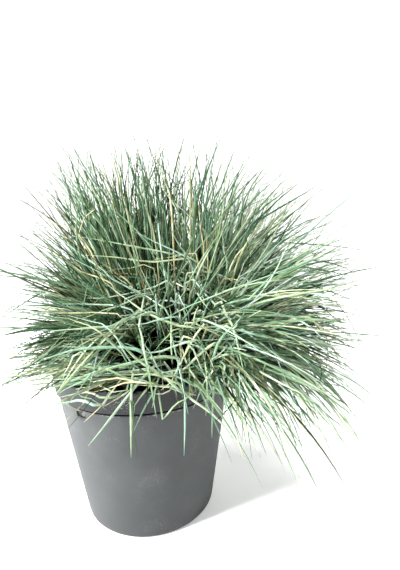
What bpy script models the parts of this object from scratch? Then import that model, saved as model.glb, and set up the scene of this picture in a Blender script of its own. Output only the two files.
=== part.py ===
"""A clump of blue fescue in a round plastic nursery pot, in metres, +Z up.

The origin is the middle of the pot's underside, which stands on z = 0. -Y is the front and +X the right.
The pot and the potting mix are turned shapes. The clump is made of tufts that stand on a spiral over its
crown. Every leaf follows one flow: it rises from the crown, leans further out the nearer it stands to the
crown's edge, and then droops. Lines of this flow never cross, so the tufts stay clear of each other.
"""

from math import atan2, cos, exp, hypot, pi, radians, sin, sqrt

import bmesh
import bpy
from mathutils import Matrix, Vector

# Pot: outer sizes of a 13 cm nursery pot.
POT_HEIGHT = 0.115
BAND_HEIGHT = 0.015
LIP_RADIUS = 0.0668
BAND_TOP_RADIUS = 0.0660
BAND_FOOT_RADIUS = 0.0650
WALL_TOP_RADIUS = 0.0628
WALL_FOOT_RADIUS = 0.0486
BASE_RADIUS = 0.0466
WALL = 0.0015
FLOOR = 0.0020
STEP_UNDER_BAND = 0.0007
LIP_HEIGHT = 0.0028
LIP_ROUNDING = 0.0007
FOOT_CHAMFER = 0.0030
BEVEL = 0.0010
TURNING_STEPS = 48

DRAIN_HOLES = 6
DRAIN_HOLE_RADIUS = 0.0045
DRAIN_RING_RADIUS = 0.0320
DRAIN_HOLE_SIDES = 10

# A shallow recess in the wall just under the band, where a plant label clips in.
LABEL_SLOT_WIDTH = 0.0080
LABEL_SLOT_HEIGHT = 0.0036
LABEL_SLOT_DEPTH = 0.0007
LABEL_SLOT_BELOW_BAND = 0.0022
LABEL_SLOT_AZIMUTH = radians(-123.4)

# Potting mix.
MIX_BELOW_RIM = 0.010
GAP = 0.0003

# Crown: where the tufts stand. It is off the pot's axis, to the right.
CROWN_CENTRE = Vector((0.022, 0.006))
CROWN_RADIUS = 0.038
TUFTS = 40
TUFT_SPREAD = 0.95
GOLDEN_ANGLE = pi * (3 - sqrt(5))

# One tuft: a bundle of sheaths that parts into needles.
NEEDLES = 7
BUNDLE_LENGTH = 0.034
BUNDLE_RINGS = ((0.0, 0.0030), (0.011, 0.0029), (0.022, 0.0027), (BUNDLE_LENGTH, 0.0025))
NEEDLE_INSET = 0.0003
NEEDLE_RINGS = ((0.32, 0.0018), (0.66, 0.0014))
INNER_OFFSET = 0.0016
OUTER_OFFSET = 0.0037
FAN_OUT = 0.050

# Needle lengths go through their range in an uneven order, from needle to needle and from tuft to tuft.
SHORTEST_NEEDLE = 0.86
NUMBER_STEP = 0.618
TUFT_STEP = 0.382

# The flow of the leaves, at eight compass points: right, back right, back, back left, left, front left,
# front and front right. Reach is the furthest that leaves go out from the crown's middle. Lean and droop are
# in degrees from upright, for leaves at the crown's edge.
EDGE_REACH = (0.156, 0.190, 0.190, 0.186, 0.130, 0.108, 0.134, 0.148)
EDGE_LEAN = (88, 70, 54, 60, 86, 92, 94, 96)
EDGE_DROOP = (46, 26, 20, 20, 16, 22, 44, 70)
LEAN_POWER = (1.3, 1.4, 1.2, 1.6, 1.8, 1.1, 0.8, 0.8)
LONGEST_LEAF = 0.186
UPRIGHT_LEAN = 0.1
MIDDLE_DROOP = 5
DROOP_RANK_POWER = 1.5
DROOP_LENGTH_POWER = 1.7
LEAN_WITHIN = 0.020
DROOP_AT = 0.160
FLOW_STEPS = 24

# The clump parts at the front, a little to the left, and its leaves sweep to both sides of the parting.
PARTING_AZIMUTH = radians(246)
PARTING = 0.8
PARTING_RADIUS = 0.045


def clear_scene():
    for obj in list(bpy.data.objects):
        bpy.data.objects.remove(obj)


def new_collection(name):
    collection = bpy.data.collections.new(name)
    bpy.context.scene.collection.children.link(collection)
    return collection


def new_material(name, colour, roughness):
    material = bpy.data.materials.new(name)
    material.use_nodes = True
    shader = material.node_tree.nodes["Principled BSDF"]
    shader.inputs["Base Color"].default_value = (*colour, 1.0)
    shader.inputs["Roughness"].default_value = roughness
    shader.inputs["Metallic"].default_value = 0.0
    return material


def add_object(name, mesh, collection, material):
    obj = bpy.data.objects.new(name, mesh)
    obj.data.materials.append(material)
    collection.objects.link(obj)
    return obj


def turned(name, profile, collection, material):
    """A solid of revolution: the profile runs from the axis over the top and down the outer side."""
    mesh = bpy.data.meshes.new(name)
    edges = [(i, i + 1) for i in range(len(profile) - 1)]
    mesh.from_pydata([(radius, 0, height) for radius, height in profile], edges, [])
    obj = add_object(name, mesh, collection, material)
    screw = obj.modifiers.new("turn", "SCREW")
    screw.axis = "Z"
    screw.steps = TURNING_STEPS
    screw.render_steps = TURNING_STEPS
    screw.use_merge_vertices = True
    screw.merge_threshold = 0.00001
    screw.use_smooth_shade = True
    return obj


def cut(obj, cutter):
    boolean = obj.modifiers.new("cut " + cutter.name, "BOOLEAN")
    boolean.operation = "DIFFERENCE"
    boolean.solver = "EXACT"
    boolean.object = cutter


def add_cutter(name, bm, collection):
    mesh = bpy.data.meshes.new(name)
    bm.to_mesh(mesh)
    bm.free()
    cutter = bpy.data.objects.new(name, mesh)
    cutter.hide_render = True
    cutter.display_type = "WIRE"
    collection.objects.link(cutter)
    return cutter


# Pot and potting mix


def wall_radius(height):
    """Outer radius of the tapered wall."""
    share = (height - FOOT_CHAMFER) / (POT_HEIGHT - BAND_HEIGHT - FOOT_CHAMFER)
    return WALL_FOOT_RADIUS + (WALL_TOP_RADIUS - WALL_FOOT_RADIUS) * share


def inner_profile(slack, floor):
    """The pot's inside from the rim down to the floor, drawn in by some slack."""
    band_foot = POT_HEIGHT - BAND_HEIGHT
    wall_top = band_foot - STEP_UNDER_BAND
    return [
        (BAND_TOP_RADIUS - WALL - slack, POT_HEIGHT - BEVEL),
        (BAND_FOOT_RADIUS - WALL - slack, band_foot + BEVEL),
        (wall_radius(wall_top) - WALL - slack, wall_top),
        (wall_radius(FLOOR) - 2 * WALL - slack, floor),
    ]


def pot_profile():
    band_foot = POT_HEIGHT - BAND_HEIGHT
    inside = [(0, FLOOR)] + inner_profile(0, FLOOR)[::-1]
    rim = [
        (BAND_TOP_RADIUS - WALL + BEVEL / 3, POT_HEIGHT),
        (LIP_RADIUS - LIP_ROUNDING, POT_HEIGHT),
        (LIP_RADIUS, POT_HEIGHT - LIP_ROUNDING),
        (LIP_RADIUS, POT_HEIGHT - LIP_HEIGHT + LIP_ROUNDING),
        (BAND_TOP_RADIUS, POT_HEIGHT - LIP_HEIGHT),
        (BAND_FOOT_RADIUS, band_foot),
    ]
    outside = [
        (WALL_TOP_RADIUS, band_foot - STEP_UNDER_BAND),
        (WALL_FOOT_RADIUS, FOOT_CHAMFER),
        (BASE_RADIUS, 0),
        (0, 0),
    ]
    return inside + rim + outside


def drain_holes_cutter(collection):
    bm = bmesh.new()
    for k in range(DRAIN_HOLES):
        turn = Matrix.Rotation(2 * pi * k / DRAIN_HOLES, 4, "Z")
        bmesh.ops.create_cone(
            bm,
            cap_ends=True,
            segments=DRAIN_HOLE_SIDES,
            radius1=DRAIN_HOLE_RADIUS,
            radius2=DRAIN_HOLE_RADIUS,
            depth=3 * FLOOR,
            matrix=turn @ Matrix.Translation((DRAIN_RING_RADIUS, 0, FLOOR / 2)),
        )
    return add_cutter("drain_holes_cutter", bm, collection)


def label_slot_cutter(collection):
    middle = POT_HEIGHT - BAND_HEIGHT - LABEL_SLOT_BELOW_BAND - LABEL_SLOT_HEIGHT / 2
    face = wall_radius(middle) * cos(pi / TURNING_STEPS)
    turn = Matrix.Rotation(LABEL_SLOT_AZIMUTH, 4, "Z")
    size = Matrix.Diagonal((2 * LABEL_SLOT_DEPTH, LABEL_SLOT_WIDTH, LABEL_SLOT_HEIGHT, 1))
    bm = bmesh.new()
    bmesh.ops.create_cube(bm, size=1, matrix=turn @ Matrix.Translation((face, 0, middle)) @ size)
    return add_cutter("label_slot_cutter", bm, collection)


def make_pot(collection, cutters):
    material = new_material("dark grey plastic", (0.085, 0.088, 0.090), 0.55)
    pot = turned("pot", pot_profile(), collection, material)
    cut(pot, drain_holes_cutter(cutters))
    cut(pot, label_slot_cutter(cutters))
    return pot


def make_potting_mix(collection):
    """The mix follows the inside of the pot, a small gap away from it."""
    surface = POT_HEIGHT - MIX_BELOW_RIM
    sides = inner_profile(1.2 * GAP, FLOOR + GAP)[1:]
    profile = [(0, surface), (sides[0][0], surface)] + sides + [(0, FLOOR + GAP)]
    material = new_material("peat potting mix", (0.030, 0.022, 0.016), 0.95)
    return turned("potting_mix", profile, collection, material)


# The flow of the leaves


def at_compass(values, azimuth):
    """A smooth blend of eight compass values."""
    turns = (azimuth / (2 * pi)) % 1.0 * len(values)
    index = int(turns)
    part = turns - index
    part = part * part * (3 - 2 * part)
    return values[index % len(values)] * (1 - part) + values[(index + 1) % len(values)] * part


def lean(along, rank, azimuth):
    """Angle from upright at this length from the foot. Rank is 0 in the crown's middle and 1 at its edge."""
    out = radians(at_compass(EDGE_LEAN, azimuth)) * rank ** at_compass(LEAN_POWER, azimuth)
    more_droop = (at_compass(EDGE_DROOP, azimuth) - MIDDLE_DROOP) * rank**DROOP_RANK_POWER
    droop = radians(MIDDLE_DROOP + more_droop) * (along / DROOP_AT) ** DROOP_LENGTH_POWER
    return out * (1 - exp(-along / LEAN_WITHIN)) + droop


def leaf_length(rank, azimuth):
    """Full length, or less where the leaf would reach out too far on its side."""
    out = radians(at_compass(EDGE_LEAN, azimuth)) * rank ** at_compass(LEAN_POWER, azimuth)
    reach = at_compass(EDGE_REACH, azimuth) - rank * CROWN_RADIUS
    return min(LONGEST_LEAF, reach / max(sin(min(out, pi / 2)), UPRIGHT_LEAN))


def parted(radius, azimuth, height):
    """Turns a point of the flow round the crown, away from the parting."""
    off = azimuth - PARTING_AZIMUTH
    amount = PARTING * radius**2 / (radius**2 + PARTING_RADIUS**2)
    azimuth += amount * sin(off) * exp(cos(off) - 1)
    across = CROWN_CENTRE + Vector((cos(azimuth), sin(azimuth))) * radius
    return Vector((across.x, across.y, height))


def leaf_point(along, rank, azimuth):
    """The point of a leaf at this length from its foot, by adding up short steps."""
    radius = rank * CROWN_RADIUS
    height = POT_HEIGHT - MIX_BELOW_RIM + GAP
    step = along / FLOW_STEPS
    for k in range(FLOW_STEPS):
        angle = lean(step * (k + 0.5), rank, azimuth)
        radius += sin(angle) * step
        height += cos(angle) * step
    return parted(radius, azimuth, height)


# Tufts


def section_frame(along, rank, azimuth):
    """Lays a section drawn in XY across the leaf: Y is away from the crown's axis, X clockwise round it."""
    step = 0.0005
    here = leaf_point(along, rank, azimuth)
    ahead = (leaf_point(along + step, rank, azimuth) - here).normalized()
    clockwise = Vector((sin(azimuth), -cos(azimuth), 0))
    clockwise = (clockwise - ahead * clockwise.dot(ahead)).normalized()
    frame = Matrix((clockwise, ahead.cross(clockwise), ahead)).transposed()
    return Matrix.Translation(here) @ frame.to_4x4()


def rank_and_azimuth(offset):
    """Rank and azimuth of a foot point, given from the crown's middle before the parting."""
    return hypot(offset.x, offset.y) / CROWN_RADIUS, atan2(offset.y, offset.x)


def bundle(rank, azimuth):
    """The sheaths of one tuft, as a bent, tapering bundle. Returns the mesh and its top face."""
    bm = bmesh.new()
    bmesh.ops.create_cone(bm, cap_ends=True, segments=NEEDLES, radius1=1, radius2=1, depth=2)
    top = next(face for face in bm.faces if face.normal.z > 0.9)
    for vert in bm.verts:
        along, radius = BUNDLE_RINGS[1] if vert.co.z > 0 else BUNDLE_RINGS[0]
        vert.co = section_frame(along, rank, azimuth) @ Vector((vert.co.x * radius, vert.co.y * radius, 0))
    for (last_along, last_radius), (along, radius) in zip(BUNDLE_RINGS[1:], BUNDLE_RINGS[2:]):
        back = section_frame(last_along, rank, azimuth).inverted()
        there = section_frame(along, rank, azimuth)
        made = bmesh.ops.extrude_face_region(bm, geom=[top])["geom"]
        bmesh.ops.delete(bm, geom=[top], context="FACES_ONLY")
        top = next(item for item in made if isinstance(item, bmesh.types.BMFace))
        for vert in top.verts:
            vert.co = there @ ((back @ vert.co) * (radius / last_radius))
    return bm, top


def grow_needle(bm, face, rank, azimuth, length):
    """Draws one three-sided needle out of a face, along its own line of the flow, to a point."""
    start = face.calc_center_median()
    shift = start - leaf_point(BUNDLE_LENGTH, rank, azimuth)
    corners = [vert.co - start for vert in face.verts]
    spread = max(corner.length for corner in corners)
    back = section_frame(BUNDLE_LENGTH, rank, azimuth).to_3x3().inverted()
    section = [(back @ corner) / spread for corner in corners]
    for share, radius in NEEDLE_RINGS + ((1.0, 0.0),):
        along = BUNDLE_LENGTH + (length - BUNDLE_LENGTH) * share
        there = section_frame(along, rank, azimuth)
        centre = there.translation + shift * max(0.0, 1 - (along - BUNDLE_LENGTH) / FAN_OUT)
        made = bmesh.ops.extrude_discrete_faces(bm, faces=[face])["faces"]
        face = made[0]
        for vert, corner in zip(face.verts, section):
            vert.co = centre + there.to_3x3() @ (corner * radius)
    bmesh.ops.pointmerge(bm, verts=list(face.verts), merge_co=centre)


def make_tuft(index, collection, material):
    rank = TUFT_SPREAD * sqrt((index + 0.5) / TUFTS)
    azimuth = index * GOLDEN_ANGLE
    outward = Vector((cos(azimuth), sin(azimuth)))
    clockwise = Vector((sin(azimuth), -cos(azimuth)))
    foot = outward * rank * CROWN_RADIUS
    bm, top = bundle(rank, azimuth)
    poked = bmesh.ops.poke(bm, faces=[top])["faces"]
    bmesh.ops.inset_individual(bm, faces=poked, thickness=NEEDLE_INSET, use_even_offset=True)
    back = section_frame(BUNDLE_LENGTH, rank, azimuth).inverted()
    for number, face in enumerate(poked):
        local = back @ face.calc_center_median()
        reach = OUTER_OFFSET if number % 2 == 0 else INNER_OFFSET
        offset = Vector((local.x, local.y)).normalized() * reach
        needle_rank, needle_azimuth = rank_and_azimuth(foot + outward * offset.y + clockwise * offset.x)
        place_in_range = (NUMBER_STEP * number + TUFT_STEP * index) % 1
        share = SHORTEST_NEEDLE + (1 - SHORTEST_NEEDLE) * place_in_range
        length = leaf_length(min(needle_rank, 1.0), needle_azimuth) * share
        grow_needle(bm, face, needle_rank, needle_azimuth, length)
    bmesh.ops.recalc_face_normals(bm, faces=bm.faces)
    mesh = bpy.data.meshes.new("tuft_%02d" % (index + 1))
    bm.to_mesh(mesh)
    bm.free()
    return add_object(mesh.name, mesh, collection, material)


def main():
    clear_scene()
    parts = new_collection("potted_blue_fescue_clump")
    cutters = new_collection("cutters")
    make_pot(parts, cutters)
    make_potting_mix(parts)
    leaf = new_material("blue green leaf", (0.20, 0.27, 0.20), 0.6)
    for index in range(TUFTS):
        make_tuft(index, parts, leaf)


main()
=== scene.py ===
"""The looks of the potted blue fescue clump: its leaves, its potting mix and its nursery pot, in metres."""

from math import cos, pi, radians, sin, sqrt

import bmesh
import bpy
import numpy as np
from mathutils import Matrix, Vector, noise


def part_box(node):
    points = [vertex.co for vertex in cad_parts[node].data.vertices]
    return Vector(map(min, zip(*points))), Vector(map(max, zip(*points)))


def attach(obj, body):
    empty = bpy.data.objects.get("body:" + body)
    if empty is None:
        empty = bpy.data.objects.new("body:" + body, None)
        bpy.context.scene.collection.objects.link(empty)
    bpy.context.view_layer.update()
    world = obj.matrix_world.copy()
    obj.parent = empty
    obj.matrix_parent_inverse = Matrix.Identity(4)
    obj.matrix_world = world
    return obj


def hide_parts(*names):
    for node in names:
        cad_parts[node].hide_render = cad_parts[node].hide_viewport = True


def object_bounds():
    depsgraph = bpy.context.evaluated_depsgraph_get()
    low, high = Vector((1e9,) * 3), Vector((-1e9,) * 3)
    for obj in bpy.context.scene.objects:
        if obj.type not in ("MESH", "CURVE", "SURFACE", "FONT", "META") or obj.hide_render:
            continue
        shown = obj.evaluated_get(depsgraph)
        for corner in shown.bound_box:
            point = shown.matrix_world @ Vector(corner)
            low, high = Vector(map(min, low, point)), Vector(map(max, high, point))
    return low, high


SEED = 20
MM = 0.001
GOLDEN_SHARE = 0.618034

# Photograph: its size and focal length in pixels, and its camera.
PHOTO_WIDTH, PHOTO_HEIGHT = 400, 570
FOCAL = 400
SENSOR = 36
CAMERA_PLACE = Vector((0.0442, -0.2906, 0.217))
CAMERA_PITCH = radians(9.7)
CAMERA_ROLL = radians(-1.92)
CAMERA_TURN = Matrix.Rotation(pi / 2 - CAMERA_PITCH, 3, "X") @ Matrix.Rotation(CAMERA_ROLL, 3, "Z")

# Lights: each one's name, place, target, size and power.
LIGHTS = (
    ("window", (-1.0, -0.7, 1.2), (0, 0, 0.15), 0.22, 58),
    ("ceiling", (0.3, 0.2, 1.7), (0, 0, 0.1), 0.35, 30),
    ("side", (-0.9, -0.1, 0.16), (0, 0, 0.06), 0.4, 16),
)
ROOM_COLOUR, ROOM_STRENGTH = (0.97, 0.99, 1.0, 1.0), 0.14

# Backdrop: a floor that sweeps up behind the pot.
FLOOR_FRONT, FLOOR_BACK = -1.6, 1.2
SWEEP_RADIUS = 0.6
BACKDROP_TOP = 3.2
BACKDROP_HALF_WIDTH = 4.0

# Pot: its drain holes and its label slot, as in the solids, and the fineness of its mesh.
POT_STEPS = 144
DRAIN_HOLES = 6
DRAIN_HOLE_RADIUS = 0.0045
DRAIN_RING_RADIUS = 0.0320
DRAIN_HOLE_SIDES = 24
SLOT_AZIMUTH = radians(-123.4)
SLOT_WIDTH = 0.0080
SLOT_DEPTH = 0.0010
SLOT_EDGE = 0.0001
SLOT_TOP, SLOT_FOOT = 96.8, 93.2  # mm
WALL_RADIUS = 0.0628
OUTER_WALL_FROM = 61  # mm
SHARP_ANGLE = radians(50)

# Heights over which the pot's colours change: at the band's foot, round the painted shadow line under it and round the
# dust.
BAND_FOOT = (0.0998, 0.1003)
SHADOW_LINE = ((0.0979, 0.0982), (0.1000, 0.1002))
DUSTY_LINE = ((0.0968, 0.0973), (0.0977, 0.0981))

# Marks on the pot: each one's middle and radius.
SPLASH = ((-0.004, -0.066, 0.1085), 0.0085)
SLOT_SHADE = ((-0.0341, -0.0516, 0.0950), 0.0052)
SMEAR = ((-0.0332, -0.0522, 0.0948), 0.0018)

# Potting mix.
MIX_RINGS, MIX_STEPS = 30, 90
MIX_RADIUS = 0.0630
MIX_SHOULDER = (0.0609, 0.0990)  # radius and height
MIX_FLOOR = (0.0452, 0.0024)
MIX_SUNK = 0.0004
CRUMBS_WITHIN = 0.061

# Crown and flow, as in the solids. Each row of eight has a value for every 45 degrees, from +X towards +Y.
TUFTS = 40
TUFT_SPREAD = 0.95
CROWN = np.array([0.022, 0.006])
CROWN_RADIUS = 0.038
GOLDEN_ANGLE = pi * (3 - sqrt(5))
EDGE_REACH = (0.156, 0.190, 0.190, 0.186, 0.130, 0.108, 0.134, 0.148)
EDGE_LEAN = (88, 70, 54, 60, 86, 92, 94, 96)
EDGE_DROOP = (46, 26, 20, 20, 16, 22, 44, 70)
LEAN_POWER = (1.3, 1.4, 1.2, 1.6, 1.8, 1.1, 0.8, 0.8)
LONGEST_LEAF = 0.186
UPRIGHT_LEAN = 0.1
MIDDLE_DROOP = 5
DROOP_RANK_POWER = 1.5
DROOP_LENGTH_POWER = 1.7
LEAN_WITHIN = 0.020
DROOP_AT = 0.160
PARTING_AZIMUTH = radians(246)
PARTING = 0.8
PARTING_RADIUS = 0.045

# Leaves: how many of each kind a tuft has, and how those in the flow differ from side to side.
FLOWING_PER_TUFT = (86, 80, 6, 100, 116, 50, 12, 52)
SHORTER = (0.22, 0.32, 0.55, 0.16, 0.14, 0.50, 0.50, 0.18)
# Paleness is partly the leaves' own tone and partly painted light and shade: paler to the right, darker to the left
# and left front.
PALENESS = (0.72, 0.62, 0.59, 0.53, 0.20, 0.18, 0.50, 0.70)
WILDNESS = (1.5, 1.1, 1.0, 1.0, 1.1, 1.2, 1.3, 1.5)
ARCHED_PER_TUFT = (12, 12, 12, 18, 42, 34, 17, 12)
THATCH_PER_TUFT = 17
MAT_PER_TUFT = 20
HANGING_PER_TUFT = 17

# Each kind's half widths, and the headings and lengths of those that leave the flow.
TUFT_RADIUS = 0.0050
FLOWING_WIDTH = (0.00050, 0.00082)
WIDER_AT_FRONT = 0.00010
ARCHED_WIDTH = (0.00058, 0.00092)
ARCHED_LEFT, ARCHED_RIGHT = radians(182), radians(330)
ARCHED_RISE = (0.006, 0.068)
ARCHED_RUN = (0.040, 0.115)
THATCH_WIDTH = (0.00058, 0.00098)
THATCH_LEFT, THATCH_RIGHT = radians(186), radians(346)
THATCH_DEPTH = 0.022
THATCH_RUN = (0.034, 0.100)
MAT_WIDTH = (0.00056, 0.00094)
MAT_HEADING = radians(188)
MAT_SIDE = (radians(196), radians(292))
MAT_RADIUS = 0.067
MAT_RUN = (0.028, 0.088)
HANGING_WIDTH = (0.00058, 0.00092)
HANGING_HEADING = radians(-60)
HANGING_LEAN = (radians(62), radians(136))
HANGING_LENGTH = (0.085, 0.140)

# How far leaves in the flow depart from it, in radians, and how much more the strays do.
STRAY_SHARE = 0.32
TURN, CURL, TILT, SWAY = (0.30, 1.3), (0.38, 0.8), (0.22, 0.6), (0.34, 0.6)

# The clump's top over the crown's front, and how far under it the light reaches.
DOME_LOW = 0.117
DOME_HEIGHT = 0.066
DOME_RADIUS = 0.080
SHADE_DEPTH = 0.0125

# Layers in which leaves lie over the mix and the rim, and the radii between which the rim lifts them.
LOWEST_LAYER, HIGHEST_LAYER = 0.0005, 0.0075
RIM_LIFT = (0.050, 0.0620)
RIM_CLEARANCE = 0.001
PAST_LIP = 0.0015

# Leaf shape. A blade's section is in half widths, across and up.
LEAF_RINGS = 16
BEYOND_SOLIDS = 0.006
FRONT_TRIM_RADIUS = 0.066
FRONT_TRIM = (radians(212), radians(298))
SECTION = np.array([(-1.0, 0.25), (-0.62, -0.42), (0.62, -0.42), (1.0, 0.25), (0.0, -0.02)])
FOOT_WIDTH, TIP_WIDTH = 0.62, 0.16
ROUND_CORNERS = (1, 2)

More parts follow.
